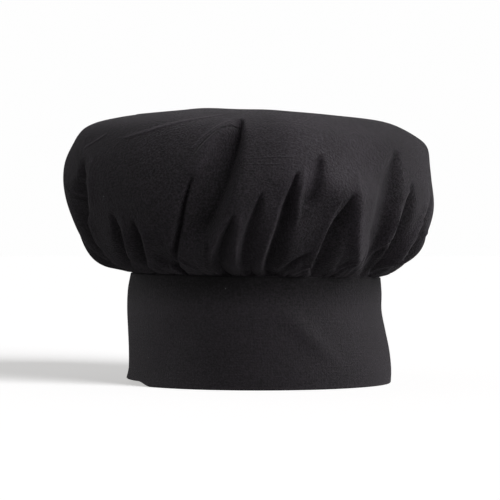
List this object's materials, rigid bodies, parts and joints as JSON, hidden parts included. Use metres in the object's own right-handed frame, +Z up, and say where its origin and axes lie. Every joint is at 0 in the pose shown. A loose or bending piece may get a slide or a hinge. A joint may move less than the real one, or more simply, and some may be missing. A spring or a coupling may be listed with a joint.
{
  "type": "chef hat",
  "caption": "Puffed black cotton hat with a gathered mushroom-shaped crown that folds over a plain straight headband.",
  "frame": {"origin": "middle of the crown's bounding box, on the surface that the hem of the headband stands on", "axes": "+Z up through the crown, -Y towards the front that the picture shows, +X to the right in that view"},
  "size_m": [0.2648, 0.26, 0.194],
  "materials": {
    "crown_cloth": "matte plain-weave cotton poplin, black, one layer",
    "headband_cloth": "matte plain-weave cotton poplin, black, folded double"
  },
  "bodies": {
    "root": {"crown": "crown_cloth", "headband": "headband_cloth"}
  },
  "joints": []
}
